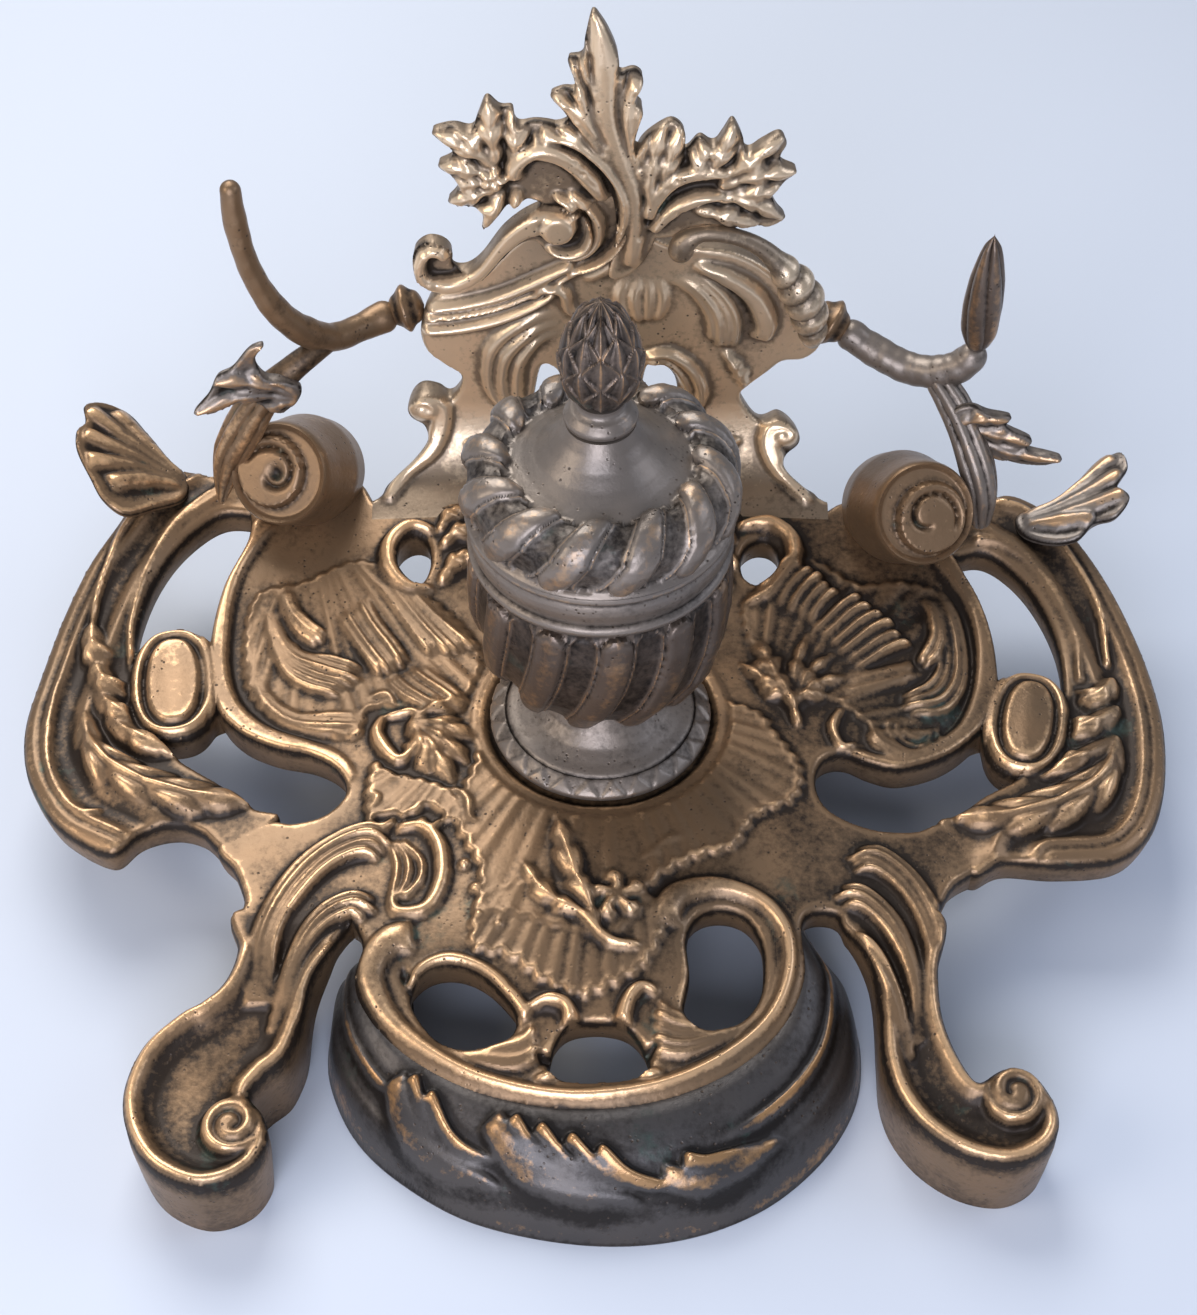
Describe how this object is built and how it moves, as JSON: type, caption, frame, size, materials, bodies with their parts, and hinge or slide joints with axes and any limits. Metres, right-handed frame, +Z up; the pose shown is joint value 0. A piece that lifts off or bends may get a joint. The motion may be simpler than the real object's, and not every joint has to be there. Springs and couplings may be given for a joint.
{
  "type": "desk inkstand",
  "caption": "Openwork bronze tray on scroll feet with an upswept crested back, two branches and a covered urn that holds a glass ink liner.",
  "frame": {"origin": "on the table, under the middle of the object's box", "axes": "+Z up, +Y towards the crested back, +X to the right as seen from the front"},
  "size_m": [0.302, 0.2322, 0.1915],
  "materials": {
    "bronze_golden": "patinated bronze, rubbed golden on the edges",
    "bronze_brown": "brown patinated bronze, satin",
    "bronze_dark": "dark brown patinated bronze",
    "iron": "plain turned iron, hidden below",
    "liner_glass": "clear pressed glass"
  },
  "bodies": {
    "root": {"tray_deck": "bronze_golden", "left_arm": "bronze_golden", "right_arm": "bronze_golden", "left_cartouche": "bronze_golden", "right_cartouche": "bronze_golden", "left_front_leg": "bronze_golden", "right_front_leg": "bronze_golden", "left_rear_foot": "bronze_brown", "right_rear_foot": "bronze_brown", "front_apron": "bronze_golden", "front_rim": "bronze_golden", "left_volute": "bronze_golden", "right_volute": "bronze_golden", "left_ear_shell": "bronze_golden", "right_ear_shell": "bronze_brown", "back_plate": "bronze_golden", "crest_leaf": "bronze_golden", "crest_left_spray": "bronze_golden", "crest_right_spray": "bronze_golden", "crest_scroll_bar": "bronze_golden", "crest_arc_scroll": "bronze_golden", "left_branch_collar": "bronze_golden", "left_branch_stem": "bronze_brown", "left_branch_drop": "bronze_brown", "left_branch_leaf": "bronze_brown", "right_branch_collar": "bronze_golden", "right_branch_stem": "bronze_brown", "right_branch_bud": "bronze_dark", "right_branch_curl": "bronze_brown", "right_branch_leaf": "bronze_brown", "urn_foot": "bronze_brown", "urn_bowl": "bronze_dark", "urn_band": "bronze_brown", "ink_liner": "liner_glass", "urn_tie_rod": "iron", "urn_washer": "iron", "urn_nut": "iron"},
    "lid": {"lid": "bronze_brown", "finial_disc": "bronze_brown", "finial_cone": "bronze_dark", "finial_nut": "iron"}
  },
  "joints": [
    {"name": "lid_lift", "type": "slide", "parent": "root", "child": "lid", "axis": [0, 0, 1], "range_m": [0, 0.1]}
  ]
}
